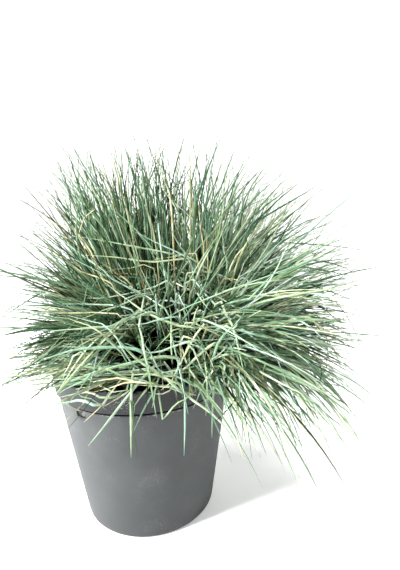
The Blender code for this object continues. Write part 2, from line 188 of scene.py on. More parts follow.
# Leaves that stand out in the photograph. Each has its route from the crown outward, as pixels across and down
# (and its y in mm where it doesn't lie on the clump's skin), its breadth, its paleness and, where it is dry, its
# dryness. Its half width in mm is a share of its breadth, and its tint is a share of its paleness.
LANDMARKS = (
    # Ones that lie across the fan.
    ([(193, 268, -36), (188, 258, -40), (170, 249, -42), (153, 241, -42), (138, 233, -42)], 0.8, 0.85),
    ([(196, 270, -34), (180, 256, -38), (153, 250, -38), (132, 246, -38), (95, 239, -36),
      (73, 236, -34)], 0.75, 0.66, 0.1),
    ([(205, 268, -36), (192, 258, -40), (153, 262, -42), (115, 257, -42), (81, 255, -42)], 0.75, 0.66, 0.45),
    ([(93, 214), (108, 193), (121, 182), (136, 173)], 0.45, 0.6, 0.7),
    ([(170, 193), (180, 180), (190, 168), (202, 156)], 0.5, 0.2),
    ([(73, 224), (70, 206), (70, 186), (73, 166)], 0.5, 0.25),
    # The fan, from its left side round its top to its right side.
    ([(80, 237), (73, 229), (57, 224), (46, 221)], 0.96, 0.5, 0.8),
    ([(98, 267), (82, 255), (62, 240), (50, 231)], 0.84, 0.8),
    ([(95, 215), (78, 190), (60, 166), (48, 150)], 0.5, 0.35),
    ([(88, 222), (72, 200), (57, 180), (46, 165)], 0.6, 0.4, 0.1),
    ([(84, 232), (70, 215), (57, 198), (46, 184)], 0.6, 0.3),
    ([(92, 205), (80, 184), (68, 160), (60, 143)], 0.45, 0.3),
    ([(100, 225), (82, 200), (66, 178), (52, 160)], 0.6, 0.45, 0.1),
    ([(78, 236), (66, 222), (52, 206)], 0.6, 0.5, 0.2),
    ([(110, 215), (94, 188), (80, 160), (70, 138)], 0.5, 0.3),
    ([(96, 277), (82, 272), (75, 267), (62, 256)], 0.84, 0.35, 1),
    ([(105, 250), (98, 233), (91, 215)], 0.96, 0.72),
    ([(87, 186), (74, 166), (60, 144), (52, 132)], 0.54, 0.35),
    ([(101, 193), (87, 171), (70, 142), (63, 131)], 0.72, 0.3),
    ([(103, 205), (98, 185), (93, 166), (87, 142), (84, 132)], 0.6, 0.3),
    ([(103, 188), (99, 166), (93, 144)], 0.48, 0.35),
    ([(136, 266), (130, 254), (124, 242), (117, 229)], 0.58, 0.4, 1),
    ([(121, 188), (119, 172), (111, 145)], 0.6, 0.35),
    ([(137, 186), (130, 165), (123, 142), (119, 130)], 0.66, 0.3),
    ([(151, 224), (148, 212), (142, 201), (137, 191)], 0.58, 0.35, 1),
    ([(155, 196), (144, 176), (132, 153)], 0.6, 0.35),
    ([(165, 184), (162, 174), (158, 164)], 0.96, 0.5, 0.9),
    ([(175, 206), (167, 184), (162, 162), (158, 142), (156, 130)], 0.6, 0.3),
    ([(182, 250), (176, 240), (170, 227)], 0.84, 0.8),
    ([(190, 178), (190, 162), (188, 142), (187, 130)], 0.66, 0.5, 0.5),
    ([(190, 190), (194, 172), (202, 142), (206, 130)], 0.66, 0.3),
    ([(203, 200), (201, 184), (196, 160), (193, 142), (191, 130)], 0.66, 0.3),
    ([(201, 232), (199, 212), (199, 192)], 0.58, 0.4, 1),
    ([(207, 250), (207, 242), (206, 229)], 0.84, 0.2, 1),
    ([(203, 182), (210, 164), (219, 142), (224, 130)], 0.9, 0.3),
    ([(224, 250), (222, 230), (218, 214)], 0.96, 0.72),
    ([(226, 198), (238, 177), (248, 160), (255, 145)], 0.72, 0.35),
    ([(226, 212), (236, 188), (244, 175), (253, 162)], 0.9, 0.45),
    ([(257, 185), (270, 168), (284, 151)], 0.6, 0.35),
    ([(215, 205), (222, 184), (230, 162), (237, 143), (242, 130)], 0.66, 0.35),
    ([(222, 200), (232, 182), (243, 165), (254, 150)], 0.6, 0.3),
    ([(232, 205), (243, 190), (256, 174), (268, 160)], 0.7, 0.3),
    ([(198, 200), (203, 180), (209, 160), (214, 142), (217, 130)], 0.62, 0.3),
    ([(195, 195), (196, 175), (197, 158), (198, 140)], 0.6, 0.4, 0.1),
    ([(240, 215), (255, 198), (270, 184), (283, 173)], 0.7, 0.35),
    ([(250, 220), (268, 204), (284, 192), (298, 181)], 0.7, 0.3),
    ([(228, 195), (236, 178), (243, 163), (248, 152)], 0.55, 0.45, 0.1),
    ([(212, 200), (216, 182), (221, 166), (225, 152)], 0.6, 0.25),
    ([(250, 190), (256, 179), (262, 171), (273, 157)], 0.84, 0.42),
    ([(242, 250), (252, 238), (260, 229)], 0.95, 1, 1),
    ([(248, 242), (258, 227), (270, 216)], 1, 0.5, 0.6),
    ([(260, 219), (274, 204), (290, 190), (305, 178)], 0.9, 0.22),
    ([(266, 216), (290, 202), (310, 190), (327, 179)], 0.78, 0.22),
    ([(260, 238), (280, 223), (295, 211), (309, 201)], 0.72, 0.28),
    ([(276, 247), (295, 234), (308, 225), (321, 215)], 0.66, 0.28),
    ([(290, 250), (312, 240), (335, 228)], 0.54, 0.32),
    ([(284, 274), (300, 266), (320, 257), (333, 250), (345, 243)], 0.96, 0.22),
    ([(280, 270), (295, 267), (310, 264), (325, 261), (343, 259), (352, 258)], 0.9, 0.28),
    ([(275, 265), (298, 266), (310, 268), (343, 274), (352, 276)], 0.84, 0.3),
    ([(275, 275), (290, 277), (300, 280), (313, 285), (325, 290), (343, 296), (352, 300)], 0.95, 0.22),
    ([(280, 290), (300, 283), (310, 280), (320, 275), (335, 270)], 0.84, 0.45, 0.4),
    ([(249, 308), (260, 304), (280, 298), (300, 295), (320, 291), (332, 288)], 0.95, 0.62),
    ([(281, 308), (287, 303), (291, 297)], 0.9, 0.3, 1),
    ([(240, 282), (252, 284)], 0.96, 0.7, 1),
    ([(313, 323), (320, 327), (330, 332), (345, 337)], 1, 0.6, 0.9),
    ([(236, 329, -68), (250, 333, -72), (265, 337, -72), (280, 339, -70), (296, 340, -66)], 0.9, 0.72),
    ([(244, 320), (254, 326), (267, 333)], 0.66, 0.9),
    ([(238, 336), (246, 343), (258, 354)], 0.96, 0.7, 1),
    ([(240, 354), (250, 356), (263, 357)], 0.84, 0.7, 0.3),
    ([(262, 348), (276, 354), (286, 355), (298, 355)], 0.84, 0.72),
    ([(244, 372), (256, 381), (266, 390), (276, 399), (290, 410), (301, 415)], 1, 0.55),
    ([(230, 395), (240, 401), (250, 409), (266, 423), (272, 432)], 0.9, 0.5),
    # The right skirt.
    ([(204, 382), (200, 392), (196, 402), (193, 409)], 0.7, 0.8),
    ([(214, 388), (213, 400), (212, 428), (212, 438)], 0.8, 0.6, 0.1),
    ([(229, 380), (228, 389), (225, 409), (224, 422)], 0.8, 0.7, 0.4),
    ([(226, 392), (230, 407), (236, 428), (239, 440)], 0.9, 0.7, 0.1),
    ([(228, 378), (234, 390), (240, 402), (250, 420), (254, 434)], 0.8, 0.5),
    ([(238, 366), (240, 377), (244, 394), (249, 416), (252, 434)], 0.8, 0.55),
    ([(245, 368), (249, 380), (254, 394), (260, 410), (265, 432)], 0.7, 0.45),
    ([(252, 372), (256, 386), (260, 400), (266, 418)], 0.7, 0.55, 0.2),
    ([(262, 374), (264, 390), (265, 402), (268, 420)], 0.6, 0.6, 0.3),
    ([(260, 378), (268, 394), (276, 413), (285, 434)], 0.5, 0.4),
    ([(262, 372), (273, 386), (286, 404), (295, 420), (302, 434)], 1, 0.3),
    ([(278, 380), (291, 395), (303, 412), (314, 434)], 0.8, 0.28),
    ([(285, 378), (299, 394), (312, 413), (324, 436)], 0.7, 0.35),
    ([(290, 380), (306, 394), (325, 413), (340, 436)], 0.7, 0.4),
    ([(285, 384), (310, 400), (330, 417), (352, 434)], 0.7, 0.3),
    ([(288, 364), (298, 374), (310, 387), (322, 403)], 0.45, 0.4),
    ([(282, 358), (300, 372), (320, 390), (343, 408), (354, 417)], 0.8, 0.5, 0.2),
    ([(300, 358), (315, 370), (330, 384), (343, 400), (350, 409)], 0.8, 0.45),
    # The middle, above the crown.
    ([(142, 336), (139, 325), (141, 314), (144, 297), (146, 287), (147, 268)], 0.75, 0.85),
    ([(156, 297), (155, 288), (154, 277), (155, 268)], 0.7, 0.66),
    ([(233, 322), (218, 327), (200, 328), (182, 327), (157, 318), (144, 312), (132, 303), (110, 287),
      (102, 280)], 0.85, 0.8),
    ([(154, 287), (144, 290), (132, 293), (120, 295), (104, 298), (87, 298)], 0.7, 0.92),
    ([(145, 294), (157, 291), (168, 286), (176, 281)], 0.6, 0.8),
    ([(165, 298), (169, 285), (174, 272), (180, 259)], 0.8, 0.55),
    ([(153, 301), (140, 293), (128, 285), (113, 275)], 0.65, 0.82),
    ([(171, 323), (171, 314), (169, 305)], 0.6, 0.8),
    ([(180, 298), (175, 303), (169, 307), (161, 309), (153, 309)], 0.6, 0.75),
    ([(159, 320), (148, 323), (136, 325), (123, 324)], 0.6, 0.8),
    ([(134, 268), (119, 269), (109, 271), (95, 274)], 0.5, 0.5, 1),
    ([(177, 257), (157, 259), (148, 262)], 0.6, 0.5, 1),
    ([(214, 294), (220, 286), (226, 277), (233, 267)], 0.8, 0.62),
    ([(206, 273), (213, 273), (225, 277), (236, 283), (243, 288), (248, 294), (255, 299)], 0.75, 0.85),
    ([(202, 289), (206, 292), (213, 295), (224, 300), (234, 307), (242, 313)], 0.7, 0.88),
    ([(201, 300), (206, 307), (213, 312), (216, 315)], 0.65, 0.85),
    ([(202, 292), (204, 302), (204, 309)], 0.6, 0.85),
    ([(183, 304), (189, 315)], 0.8, 0.92),
    ([(199, 346), (204, 351), (211, 357)], 0.8, 0.6, 1),
    ([(182, 342), (173, 341), (164, 340)], 0.6, 0.8),
    ([(164, 340), (154, 352)], 0.6, 0.75),
    ([(204, 328), (222, 337), (234, 341)], 0.65, 0.66, 0.3),
    ([(211, 372, -62), (212, 361, -66), (216, 350, -70), (220, 339, -73), (228, 331, -74), (236, 324, -74),
      (244, 314, -73), (248, 304, -72)], 1, 0.68),
    ([(225, 313, -58), (233, 327, -66), (237, 340, -72), (240, 355, -77), (244, 372, -82),
      (246, 380, -84)], 0.95, 0.78),
    ([(233, 352), (234, 361), (232, 369), (224, 377)], 0.6, 0.66),
    ([(227, 351), (220, 365), (213, 377)], 0.6, 0.7),
    ([(223, 376), (224, 390), (224, 400), (223, 412)], 0.95, 0.72, 0.2),
    ([(150, 352), (145, 345), (144, 341), (147, 338), (150, 341), (151, 347)], 0.6, 0.8),
    ([(195, 336), (192, 341), (180, 364), (170, 384), (166, 389), (161, 390)], 0.9, 0.9, 0.85),
    # The left side, and the mat over the rim at the left front.
    ([(102, 313), (80, 313), (57, 313), (42, 313)], 0.6, 0.5, 0.95),
    ([(115, 306), (107, 305), (82, 304), (62, 304)], 0.65, 0.82),
    ([(129, 302), (120, 306), (104, 310), (92, 315), (82, 319)], 0.75, 0.85),
    ([(90, 326), (78, 322), (67, 318), (56, 317)], 0.6, 0.5, 0.4),
    ([(117, 338), (110, 330), (107, 325), (94, 322), (82, 319), (67, 315)], 0.65, 0.75, 0.1),
    ([(140, 316), (120, 322), (110, 327), (99, 327), (78, 329), (62, 330), (50, 331)], 1, 0.78),
    ([(140, 313), (122, 322), (111, 327), (99, 332), (86, 337)], 1, 0.85),
    ([(115, 327), (109, 332), (103, 337), (100, 342)], 0.6, 0.75),
    ([(86, 297), (82, 308), (79, 319)], 0.5, 0.6),
    ([(123, 347), (115, 347), (94, 348), (74, 350), (57, 355), (44, 359)], 1.1, 0.7),
    ([(161, 374), (149, 368), (138, 360), (128, 351), (119, 340), (109, 329)], 1, 0.8),
    ([(180, 344), (168, 349), (154, 353), (145, 352), (136, 348), (125, 343)], 0.8, 0.75),
    ([(107, 369), (86, 367), (72, 362), (57, 355)], 0.8, 0.72),
    ([(119, 350), (124, 357), (129, 367), (130, 372)], 0.7, 0.8),
    ([(174, 375), (163, 373), (157, 367), (151, 362), (145, 361)], 0.7, 0.8),
    ([(157, 357), (140, 361), (115, 367), (94, 373), (78, 379), (57, 386), (45, 390)], 1.2, 0.62),
    ([(94, 373), (82, 382), (69, 387), (57, 395)], 0.9, 0.7),
    ([(119, 378), (104, 380), (90, 382)], 0.7, 0.75, 0.95),
    ([(157, 375), (144, 374), (132, 375), (119, 374)], 0.7, 0.65, 0.35),
    ([(168, 387), (161, 387), (149, 382), (132, 378), (119, 378)], 0.6, 0.7),
    ([(174, 387), (165, 387), (153, 386), (136, 385)], 0.6, 0.8, 0.8),
    ([(129, 382), (110, 388), (94, 392)], 0.65, 0.7, 0.9),
    ([(82, 400), (70, 402), (57, 404), (48, 406)], 1.1, 0.85),
    ([(90, 392), (74, 394), (57, 398)], 0.8, 0.8),
    ([(71, 363), (66, 370), (62, 382)], 0.7, 0.8, 0.4),
    ([(85, 353), (84, 362), (84, 368)], 0.6, 0.8),
    ([(95, 400), (99, 404), (106, 410)], 0.4, 0.95),
    ([(177, 373), (176, 383), (175, 391), (177, 397)], 0.6, 0.85),
    # Ones that hang in front of the pot.
    ([(203, 351), (190, 364), (180, 372), (170, 382)], 1, 0.85),
    ([(197, 358), (203, 372), (208, 382), (207, 390), (206, 404), (206, 416)], 0.7, 0.8, 0.2),
    ([(178, 380, -58), (168, 392, -66), (158, 394, -67), (148, 393, -67)], 0.65, 0.6, 0.8),
    ([(134, 368, -60), (132, 381, -70), (131, 400, -73), (131, 428, -74), (131, 458, -74)], 1.05, 0.78, 0.05),
    ([(160, 362, -58), (150, 370, -66), (132, 391, -72), (116, 411, -74), (103, 428, -76),
      (88, 446, -76)], 0.95, 0.72, 0.05),
    ([(156, 378, -62), (149, 387, -69), (139, 399, -71), (134, 407, -72), (134, 413, -72)], 0.8, 0.7),
    ([(124, 376, -60), (113, 390, -68), (101, 406, -71), (84, 422, -73)], 0.75, 0.62, 0.75),
    ([(140, 382, -62), (129, 391, -69), (118, 398, -70), (103, 407, -72)], 0.7, 0.62, 0.6),
    ([(98, 388, -56), (87, 400, -62), (76, 411, -66), (64, 422, -68)], 0.75, 0.62, 0.15),
    ([(158, 380, -64), (155, 392, -70), (154, 400, -71), (152, 408, -72)], 0.75, 0.76),
    ([(184, 386, -64), (185, 398, -71), (185, 414, -74), (185, 428, -75), (184, 456, -75)], 0.8, 0.76),
    ([(183, 352, -58), (188, 367, -66), (199, 383, -71), (215, 403, -75), (228, 419, -77)], 0.85, 0.66, 0.35),
    ([(172, 372, -62), (181, 388, -69), (196, 403, -73), (208, 410, -76), (225, 427, -79),
      (236, 444, -80)], 0.9, 0.76, 0.3),
    ([(205, 362, -58), (210, 378, -66), (220, 391, -71), (231, 405, -75), (246, 427, -78)], 1.25, 0.64),
    ([(176, 404, -70), (186, 399, -73), (192, 394, -72), (199, 388, -70)], 0.7, 0.66, 0.2),
    # A dead bit among the leaves at the left.
    ([(120, 276), (112, 270), (106, 264), (101, 262), (103, 267), (108, 270)], 0.8, 0, 1),
    ([(121, 274), (113, 273), (108, 268), (110, 262), (105, 261)], 0.7, 0, 1),
)
TINT_BY_PALENESS = 0.79
WIDTH_BY_BREADTH, STRAW_BY_BREADTH = 0.76, 0.64
STRAW_FROM = 0.6
KNEE_BEFORE, KNEE_DROP = 0.014, 0.005
ROOT_REACH = 0.030
SKIN_LIFT = 0.010
SKIN_RADIUS = 0.074
FAN_DEPTH, SKIRT_DEPTH = 0.030, 0.066
FAN_FOOT, SKIRT_TOP = 265, 345  # pixels down

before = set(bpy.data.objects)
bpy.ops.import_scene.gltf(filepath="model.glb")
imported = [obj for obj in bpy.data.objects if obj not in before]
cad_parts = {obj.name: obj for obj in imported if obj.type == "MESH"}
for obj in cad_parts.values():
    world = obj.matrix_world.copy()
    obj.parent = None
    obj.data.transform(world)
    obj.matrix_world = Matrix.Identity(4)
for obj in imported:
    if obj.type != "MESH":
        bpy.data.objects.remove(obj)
CAD_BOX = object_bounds()
RNG = np.random.default_rng(SEED)
noise.seed_set(SEED)  # else noise_vector differs from run to run
POT_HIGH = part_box("pot")[1]
POT_HEIGHT, LIP_RADIUS = POT_HIGH.z, POT_HIGH.x
MIX_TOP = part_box("potting_mix")[1].z
ROOT_HEIGHT = MIX_TOP - 0.001

# Shares of a leaf's length at its rings, and at the middle of each step between them.
RINGS = np.linspace(0, 1, LEAF_RINGS)[None]
MIDDLES = (RINGS[:, 1:] + RINGS[:, :-1]) / 2


# Small helpers


def linked(name, data):
    obj = bpy.data.objects.new(name, data)
    bpy.context.scene.collection.objects.link(obj)
    return obj


def add_object(name, mesh, material):
    mesh.materials.append(material)
    return linked(name, mesh)


def mesh_from(bm, name):
    mesh = bpy.data.meshes.new(name)
    bm.to_mesh(mesh)
    bm.free()
    return mesh


def smooth(edge0, edge1, value):
    part = np.clip((value - edge0) / (edge1 - edge0), 0, 1)
    return part * part * (3 - 2 * part)


def unit(vectors):
    return vectors / np.maximum(np.linalg.norm(vectors, axis=-1, keepdims=True), 1e-12)


def column(values):
    return np.asarray(values, float)[:, None]


def golden_shares(count):
    """A number from 0 to 1 for each of many, well spread however many they are."""
    return np.arange(count) * GOLDEN_SHARE % 1.0


def chosen(share, count=None):
    """Picks one leaf with this chance, or about this share of many."""
    return RNG.uniform(0, 1, count) < share


def for_some(share, low, high, count):
    """A number between low and high for about this share of many, and 0 for the others."""
    return np.where(chosen(share, count), RNG.uniform(low, high, count), 0.0)


# Materials


class Graph:
    """A short way to write a material's nodes."""

    def __init__(self, name):
        self.material = bpy.data.materials.new(name)
        self.material.use_nodes = True
        self.tree = self.material.node_tree
        self.shader = self.tree.nodes["Principled BSDF"]

    def node(self, kind, **settings):
        made = self.tree.nodes.new(kind)
        for key, value in settings.items():
            setattr(made, key, value)
        return made

    def put(self, value, socket):
        """Gives a socket a number or a colour, or links it to another socket."""
        if isinstance(value, (int, float)):
            socket.default_value = value
        elif isinstance(value, tuple):
            socket.default_value = (*value, 1.0)
        else:
            self.tree.links.new(value, socket)

    def set(self, **values):
        for key, value in values.items():
            self.put(value, self.shader.inputs[key.replace("_", " ")])

    def place(self):
        return self.node("ShaderNodeTexCoord").outputs["Object"]

    def noise(self, vector, scale, detail=4.0, roughness=0.55):
        made = self.node("ShaderNodeTexNoise")
        for key, value in (("Vector", vector), ("Scale", scale), ("Detail", detail), ("Roughness", roughness)):
            self.put(value, made.inputs[key])
        return made.outputs["Fac"]

    def ramp(self, value, stops):
        made = self.node("ShaderNodeValToRGB")
        elements = made.color_ramp.elements
        while len(elements) < len(stops):
            elements.new(0.5)
        for element, (place, colour) in zip(elements, stops):
            element.position = place
            element.color = (*colour, 1.0)
        self.put(value, made.inputs["Fac"])
        return made.outputs["Color"]

    def mix(self, share, first, second, blend="MIX"):
        made = self.node("ShaderNodeMix", data_type="RGBA", blend_type=blend)
        for value, number in ((share, 0), (first, 6), (second, 7)):
            self.put(value, made.inputs[number])
        return made.outputs[2]

    def combine(self, red, green, blue):
        made = self.node("ShaderNodeCombineColor")
        for value, socket in zip((red, green, blue), made.inputs):
            self.put(value, socket)
        return made.outputs["Color"]

    def tinted(self, colour, red, green, blue):
        return self.mix(1.0, colour, self.combine(red, green, blue), "MULTIPLY")

    def math(self, operation, first, second):
        made = self.node("ShaderNodeMath", operation=operation)
        self.put(first, made.inputs[0])
        self.put(second, made.inputs[1])
        return made.outputs["Value"]

    def times(self, first, second):
        return self.math("MULTIPLY", first, second)

    def spread(self, value, low, high, to_low=0.0, to_high=1.0):
        made = self.node("ShaderNodeMapRange")
        for number, socket in zip((value, low, high, to_low, to_high), made.inputs):
            self.put(number, socket)
        return made.outputs[0]

    def between(self, value, foot, top):
        """1 between two fades, and 0 below the first and above the second."""
        return self.times(self.spread(value, *foot), self.spread(value, *top, 1.0, 0.0))

    def near(self, place, centre, radius):
        """1 at a point of the object, falling to 0 at this distance from it."""
        away = self.node("ShaderNodeVectorMath", operation="DISTANCE")
        away.inputs[1].default_value = centre
        self.put(place, away.inputs[0])
        return self.spread(away.outputs["Value"], radius * 0.5, radius, 1.0, 0.0)

    def bump(self, height, strength, distance):
        made = self.node("ShaderNodeBump")
        for key, value in (("Strength", strength), ("Distance", distance), ("Height", height)):
            self.put(value, made.inputs[key])
        self.set(Normal=made.outputs["Normal"])


def leaf_material():
    """Waxy blue-green blades. The mesh says how pale, how dry, how well lit and how warm each point is."""
    g = Graph("fescue leaf")
    blade = g.node("ShaderNodeAttribute", attribute_name="blade")
    parts = g.node("ShaderNodeSeparateColor")
    g.put(blade.outputs["Color"], parts.inputs["Color"])
    tint, dry, light = (parts.outputs[name] for name in ("Red", "Green", "Blue"))
    warmth = blade.outputs["Alpha"]
    stretch = g.node("ShaderNodeMapping")
    stretch.inputs["Scale"].default_value = (900, 14, 1)
    g.put(g.node("ShaderNodeUVMap", uv_map="OFBake").outputs["UV"], stretch.inputs["Vector"])
    lines = g.noise(stretch.outputs["Vector"], 1.0, 2.0)
    patches = g.noise(g.place(), 160.0, 3.0)
    green = g.ramp(g.math("ADD", tint, g.spread(patches, 0.3, 0.7, -0.10, 0.10)), [
        (0.0, (0.007, 0.024, 0.009)), (0.3, (0.068, 0.150, 0.072)), (0.55, (0.190, 0.314, 0.192)),
        (0.78, (0.408, 0.512, 0.404)), (1.0, (0.625, 0.700, 0.620)),
    ])
    green = g.tinted(green, g.spread(warmth, 0.0, 1.0, 0.91, 1.12), 1.0, g.spread(warmth, 0.0, 1.0, 1.11, 0.78))
    straw = g.ramp(g.math("ADD", patches, g.spread(tint, 0.0, 1.0, -0.08, 0.16)), [
        (0.30, (0.30, 0.21, 0.10)), (0.40, (0.50, 0.42, 0.20)), (0.52, (0.62, 0.60, 0.30)),
        (0.68, (0.76, 0.76, 0.56)),
    ])
    colour = g.mix(dry, green, g.tinted(straw, *[g.spread(tint, 0.0, 1.0, 0.5, 1.1)] * 3))
    # Painted shade: deep in the clump, where the light attribute is low, the blades are made browner here and darker
    # in the base colour below.
    colour = g.mix(g.spread(light, 0.1, 0.3, 0.5, 0.0), colour, (0.16, 0.14, 0.07))
    veins = g.spread(lines, 0.35, 0.65, 0.80, 1.12)
    g.set(Base_Color=g.tinted(colour, *[g.times(veins, light)] * 3))
    g.set(Roughness=g.spread(lines, 0.3, 0.7, 0.32, 0.50))
    # for the export, which drops the link that follows
    g.set(Specular_IOR_Level=0.3)  # the socket's own value, under the link that follows
    g.set(Specular_IOR_Level=g.times(light, g.spread(tint, 0.0, 0.4, 0.04, 0.5)))
    g.bump(lines, 0.25, 0.0002)
    return g.material


def plastic_material():
    """Matt dark grey moulded plastic, with fine grain, pale dust and a little splashed potting mix, and painted shade:
    a darker band, a painted shadow line under it and a darker label slot.
    """
    g = Graph("dark grey nursery plastic")
    place = g.place()
    grain = g.noise(place, 2600.0, 2.0)
    cloud = g.noise(place, 32.0, 5.0, 0.62)
    wall = g.ramp(cloud, [
        (0.30, (0.044, 0.047, 0.048)), (0.55, (0.060, 0.064, 0.065)), (0.75, (0.082, 0.086, 0.086)),
    ])
    # Painted shade: the band, shaded by the leaves above it, is given a darker colour than the wall.
    band = g.ramp(cloud, [
        (0.30, (0.015, 0.016, 0.018)), (0.55, (0.022, 0.024, 0.026)), (0.75, (0.034, 0.036, 0.038)),
    ])
    parts = g.node("ShaderNodeSeparateXYZ")
    g.put(place, parts.inputs[0])
    height = parts.outputs["Z"]
    colour = g.mix(g.spread(height, *BAND_FOOT), wall, band)
    # Painted shadow: a near black line in the groove under the band's overhang.
    colour = g.mix(g.between(height, *SHADOW_LINE), colour, (0.006, 0.006, 0.007))
    dust = g.times(g.between(height, *DUSTY_LINE), g.spread(g.noise(place, 420.0, 3.0), 0.50, 0.62, 0.0, 0.8))
    colour = g.mix(dust, colour, (0.30, 0.28, 0.23))
    colour = g.mix(g.times(g.near(place, *SLOT_SHADE), 0.8), colour, (0.018, 0.016, 0.014))
    specks = g.spread(g.noise(place, 2400.0, 1.0), 0.66, 0.70)
    patchy = g.spread(g.noise(place, 60.0, 2.0), 0.56, 0.68, 0.0, 0.3)
    splashed = g.times(specks, g.math("MAXIMUM", g.near(place, *SPLASH), patchy))
    colour = g.mix(splashed, colour, (0.66, 0.64, 0.56))
    smeared = g.times(g.near(place, *SMEAR), g.spread(grain, 0.3, 0.6, 0.1, 0.6))
    colour = g.mix(smeared, colour, (0.26, 0.26, 0.24))
    g.set(Base_Color=colour, Roughness=g.spread(cloud, 0.3, 0.7, 0.55, 0.75), Specular_IOR_Level=0.3)
    g.bump(grain, 0.18, 0.0002)
    return g.material


def mix_material():
    """Dark peat with brown fibre."""
    g = Graph("peat potting mix")
    lumps = g.noise(g.place(), 420.0, 6.0, 0.7)
    colour = g.ramp(lumps, [
        (0.30, (0.010, 0.007, 0.005)), (0.50, (0.030, 0.019, 0.012)), (0.66, (0.085, 0.052, 0.028)),
        (0.80, (0.16, 0.11, 0.06)),
    ])
    g.set(Base_Color=colour, Roughness=0.95)
    g.bump(lumps, 0.7, 0.0012)
    return g.material


def crumb_material(name, dark, light):
    """Rough blotched grains."""
    g = Graph(name)
    blotch = g.noise(g.place(), 700.0, 3.0)
    g.set(Base_Color=g.ramp(blotch, [(0.35, dark), (0.65, light)]), Roughness=0.9)
    g.bump(blotch, 0.5, 0.0005)
    return g.material


def backdrop_material():
    g = Graph("white sweep")
    g.set(Base_Color=(0.9, 0.9, 0.9), Roughness=0.9, Emission_Color=(1.0, 1.0, 1.0), Emission_Strength=0.4)
    return g.material


# The flow of the leaves


def at_compass(values, azimuth):
    """A smooth blend of eight compass values."""
    values = np.asarray(values, float)
    turns = (azimuth / (2 * pi)) % 1.0 * 8
    index = np.floor(turns).astype(int)
    part = smooth(0, 1, turns - index)
    return values[index % 8] * (1 - part) + values[(index + 1) % 8] * part


def full_lean(rank, azimuth):
    """Angle from upright that a leaf takes soon after it leaves the crown. Rank is 0 in the crown's middle and 1
    at its edge."""
    return np.radians(at_compass(EDGE_LEAN, azimuth)) * rank ** at_compass(LEAN_POWER, azimuth)


def lean(along, rank, azimuth):
    """Angle from upright at this length from the foot."""
    more_droop = (at_compass(EDGE_DROOP, azimuth) - MIDDLE_DROOP) * rank**DROOP_RANK_POWER
    droop = np.radians(MIDDLE_DROOP + more_droop) * (along / DROOP_AT) ** DROOP_LENGTH_POWER
    return full_lean(rank, azimuth) * (1 - np.exp(-along / LEAN_WITHIN)) + droop


def leaf_length(rank, azimuth):
    """Full length, or less where the leaf would reach out too far on its side."""
    reach = at_compass(EDGE_REACH, azimuth) - rank * CROWN_RADIUS
    out = np.sin(np.minimum(full_lean(rank, azimuth), pi / 2))
    return np.minimum(LONGEST_LEAF, reach / np.maximum(out, UPRIGHT_LEAN))


def parted(points):
    """Turns points round the crown, away from the parting."""
    x, y = points[..., 0], points[..., 1]
    radius, azimuth = np.hypot(x, y), np.arctan2(y, x)
    off = azimuth - PARTING_AZIMUTH
    amount = PARTING * radius**2 / (radius**2 + PARTING_RADIUS**2)
    azimuth = azimuth + amount * np.sin(off) * np.exp(np.cos(off) - 1)
    return np.stack([CROWN[0] + radius * np.cos(azimuth), CROWN[1] + radius * np.sin(azimuth), points[..., 2]], -1)


def dome(x, y):
    """Height of the clump's top over the crown's front half, where leaves lie crosswise."""
    radius = np.hypot(x - CROWN[0], y - CROWN[1])
    return DOME_LOW + DOME_HEIGHT * (1 - np.minimum(radius / DOME_RADIUS, 1.0) ** 1.6)


def tuft_place(index):
    """A tuft's foot from the crown's middle, its azimuth and its rank."""
    turn = index * GOLDEN_ANGLE
    foot = np.array([cos(turn), sin(turn)]) * (TUFT_SPREAD * sqrt((index + 0.5) / TUFTS)) * CROWN_RADIUS
    return foot, np.arctan2(foot[1], foot[0]), np.hypot(*foot) / CROWN_RADIUS


def on_side(azimuth, first, last):
    """Whether a tuft stands between these two azimuths, in degrees."""
    return first < np.degrees(azimuth) % 360 < last


# Centre lines


def kept_off_pot(points, highest_layer=HIGHEST_LAYER):
    """Lifts leaf points that would run through the potting mix or the pot's rim, and all that follow them."""
    radius = np.hypot(points[..., 0], points[..., 1])
    layer = LOWEST_LAYER + (highest_layer - LOWEST_LAYER) * column(golden_shares(len(points)))
    layer = layer * smooth(0, 0.3, RINGS)
    floor = ROOT_HEIGHT + layer + (POT_HEIGHT + RIM_CLEARANCE - MIX_TOP) * smooth(*RIM_LIFT, radius)
    under = np.maximum(np.where(radius < LIP_RADIUS + PAST_LIP, floor - points[..., 2], 0.0), 0.0)
    points[..., 2] += np.maximum.accumulate(under, axis=1) if highest_layer else under
    return points


def kept_within(lines, trimmed=False):
    """Ends leaves at the clump's reach, and trimmed ones at the pot's left front."""
    x, y = lines[..., 0], lines[..., 1]
    azimuth = np.arctan2(y, x) % (2 * pi)
    past_front = (np.hypot(x, y) > FRONT_TRIM_RADIUS) & (azimuth > FRONT_TRIM[0]) & (azimuth < FRONT_TRIM[1])
    low, high = np.array(CAD_BOX[0]) - BEYOND_SOLIDS, np.array(CAD_BOX[1]) + BEYOND_SOLIDS
    past = ((lines < low) | (lines > high)).any(-1) | (past_front & np.reshape(trimmed, (-1, 1)))
    last = np.where(past.any(1), past.argmax(1) - 1, LEAF_RINGS - 1)
    return shortened(lines, np.maximum(last / (LEAF_RINGS - 1), 0.2))


def shortened(lines, share):
    """Centre lines that end at this share of their length, with as many rings as before."""
    places = share[:, None] * np.arange(LEAF_RINGS)[None]
    low = np.minimum(places.astype(int), LEAF_RINGS - 2)
    part = (places - low)[..., None]
    leaf = np.arange(len(lines))[:, None]
    return lines[leaf, low] * (1 - part) + lines[leaf, low + 1] * part


def direction(angle, heading):
    """Directions at this angle from upright, in this heading."""
    return np.stack([np.sin(angle) * np.cos(heading), np.sin(angle) * np.sin(heading), np.cos(angle)], -1)


def walked(start, steps):
    """Points that steps lead through from a start."""
    start = start[:, None]
    return np.concatenate([start, start + np.cumsum(steps, 1)], 1)


def kinked(kink, kink_at):
    """How much further over a leaf is bent past its kink."""
    return column(kink) * smooth(column(kink_at) - 0.02, column(kink_at) + 0.02, MIDDLES)


